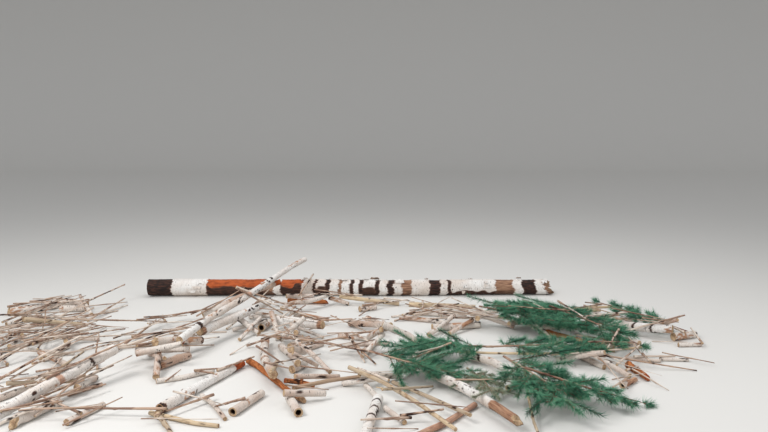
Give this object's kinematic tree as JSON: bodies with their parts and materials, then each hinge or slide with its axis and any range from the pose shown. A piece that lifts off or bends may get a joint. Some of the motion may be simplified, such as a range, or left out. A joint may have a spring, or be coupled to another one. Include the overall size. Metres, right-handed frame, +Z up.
{
  "type": "stack of logs",
  "caption": "Low loose heap of cut birch logs, poles, brushwood and green pine boughs, with one long trunk lying along its back.",
  "frame": {"origin": "middle of the heap's footprint, on the ground that it lies on", "axes": "+Z up, +X right along the back trunk, +Y away from the side that the heap is worked from, towards the trunk"},
  "size_m": [5.877, 4.1134, 0.3962],
  "materials": {
    "birch_mix": "matt birch bark, weathered to grey and pink",
    "birch_white": "matt birch bark, white with black marks",
    "brushwood": "matt thin bark, tan and brown",
    "dry_needles": "matt grey-green dry needles",
    "dry_stick": "matt dry wood without bark",
    "pine_needles": "matt green needles on brown twigs",
    "pine_orange": "matt, rotten orange wood and pine bark"
  },
  "bodies": {
    "root": {"back_sticks": "dry_stick", "back_trunk": "birch_white", "bent_back_log": "birch_mix", "bent_centre_log": "birch_mix", "big_birch_left": "birch_white", "big_curved_log": "birch_white", "big_white_log": "birch_white", "black_marked_log": "birch_white", "broken_front_log": "birch_mix", "broken_left_log": "birch_mix", "brushwood_centre": "brushwood", "brushwood_centre_back": "brushwood", "brushwood_centre_left": "brushwood", "brushwood_left": "brushwood", "brushwood_left_back": "brushwood", "brushwood_left_front": "brushwood", "brushwood_right": "brushwood", "brushwood_right_back": "brushwood", "centre_top_pole": "dry_stick", "crooked_left_pole": "birch_mix", "curved_centre_log": "birch_white", "dry_pine_sprig": "dry_needles", "elbow_log": "birch_mix", "end_on_log": "birch_mix", "forked_front_branch": "dry_stick", "front_poles": "dry_stick", "grey_brown_stub": "birch_mix", "grey_front_pole": "dry_stick", "hollow_front_log": "birch_mix", "hollow_left_log": "birch_mix", "knotty_white_stick": "birch_mix", "left_poles": "dry_stick", "long_pole": "birch_white", "long_right_pole": "birch_white", "long_thin_stick": "dry_stick", "low_logs_centre": "birch_mix", "low_logs_left": "birch_mix", "low_logs_right": "birch_mix", "lower_centre_log": "birch_mix", "orange_front_log": "pine_orange", "orange_pine_log": "pine_orange", "pine_boughs_back": "pine_needles", "pine_boughs_front": "pine_needles", "pine_boughs_middle": "pine_needles", "pine_boughs_right": "pine_needles", "red_ended_log": "pine_orange", "right_end_log": "birch_mix", "right_poles": "dry_stick", "root_piece": "pine_orange", "short_logs_centre": "birch_mix", "short_logs_left": "birch_mix", "short_logs_right": "birch_mix", "speckled_right_log": "birch_white", "splintered_orange_log": "pine_orange", "striped_birch_log": "birch_white", "tall_thin_stick": "dry_stick", "tan_front_log": "birch_mix", "upper_pole": "birch_white", "upright_centre_log": "birch_mix"}
  },
  "joints": []
}
